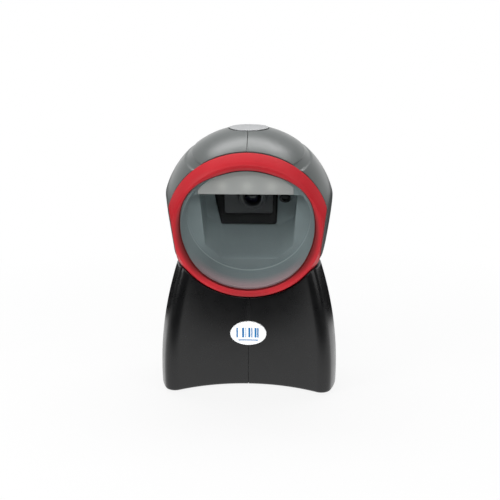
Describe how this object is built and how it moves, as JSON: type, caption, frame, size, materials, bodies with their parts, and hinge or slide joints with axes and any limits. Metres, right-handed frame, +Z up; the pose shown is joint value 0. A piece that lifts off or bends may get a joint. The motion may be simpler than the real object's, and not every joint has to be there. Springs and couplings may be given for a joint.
{
  "type": "hands-free desktop barcode scanner",
  "caption": "Spherical scan head with a red window ring, tilting in the cup of a weighted black pedestal, with a trigger button on its crown.",
  "frame": {"origin": "on the counter under the centre of the spherical head, in the middle of the rubber sole", "axes": "+Z up; the window faces -Y; +X is to the right when looking along +Y"},
  "size_m": [0.102, 0.0884, 0.1492],
  "materials": {
    "grey_shell": "satin moulded plastic with a very fine grain",
    "black_shell": "satin black moulded plastic",
    "red_plastic": "smooth red plastic, half gloss",
    "smoked_glass": "clear polished window with a faint grey tint",
    "inner_grey": "plain grey moulded plastic",
    "black_plastic": "black moulded plastic",
    "milk_plastic": "translucent milky plastic",
    "lens_glass": "coated lens glass",
    "silver_plastic": "silver painted plastic",
    "rubber": "soft black rubber",
    "steel": "turned steel",
    "screw_steel": "dark plated steel",
    "circuit_board": "green solder mask",
    "white_plastic": "white plastic",
    "cable_black": "black cable jacket",
    "copper_flex": "amber flexible circuit"
  },
  "bodies": {
    "base": {"base_shell_left": "black_shell", "base_shell_right": "black_shell", "bottom_plate": "black_plastic", "rubber_sole": "rubber", "ballast_plate": "steel", "badge_plate": "white_plastic", "cradle_liner": "rubber", "cable_jack": "black_plastic", "jack_board": "circuit_board", "tilt_post": "steel", "clamp_saddle": "black_plastic", "wave_spring": "steel", "clamp_nut": "steel", "post_screw_1": "screw_steel", "post_screw_2": "screw_steel", "bottom_screw_1": "screw_steel", "bottom_screw_2": "screw_steel", "bottom_screw_3": "screw_steel", "bottom_screw_4": "screw_steel", "harness_lower": "cable_black"},
    "head": {"head_shell_left": "grey_shell", "head_shell_right": "grey_shell", "bezel_ring": "red_plastic", "window": "smoked_glass", "window_gasket": "rubber", "light_shroud": "inner_grey", "visor_frame": "inner_grey", "diffuser": "milk_plastic", "led_board": "white_plastic", "led_left": "milk_plastic", "led_centre": "milk_plastic", "led_right": "milk_plastic", "camera_housing": "black_plastic", "lens_barrel": "black_plastic", "lens_glass": "lens_glass", "aimer_lens": "black_plastic", "engine_flex": "copper_flex", "decoder_board": "circuit_board", "board_connector": "white_plastic", "beeper": "black_plastic", "button_guide": "black_plastic", "button_board": "circuit_board", "tact_switch": "black_plastic", "harness_upper": "cable_black", "shroud_screw_1": "screw_steel", "shroud_screw_2": "screw_steel", "shroud_screw_3": "screw_steel", "shroud_screw_4": "screw_steel", "engine_screw_1": "screw_steel", "engine_screw_2": "screw_steel", "board_screw_1": "screw_steel", "board_screw_2": "screw_steel", "button_screw_1": "screw_steel", "button_screw_2": "screw_steel"},
    "button": {"button_cap": "silver_plastic", "button_plunger": "black_plastic"}
  },
  "joints": [
    {"name": "head_tilt", "type": "hinge", "parent": "base", "child": "head", "pos_m": [0, 0, 0.1015], "axis": [1, 0, 0], "range_deg": [-22, 5]},
    {"name": "trigger_press", "type": "slide", "parent": "head", "child": "button", "axis": [0, 0.061, -0.9981], "range_m": [0, 0.0012], "stiffness_N_per_m": 200}
  ]
}
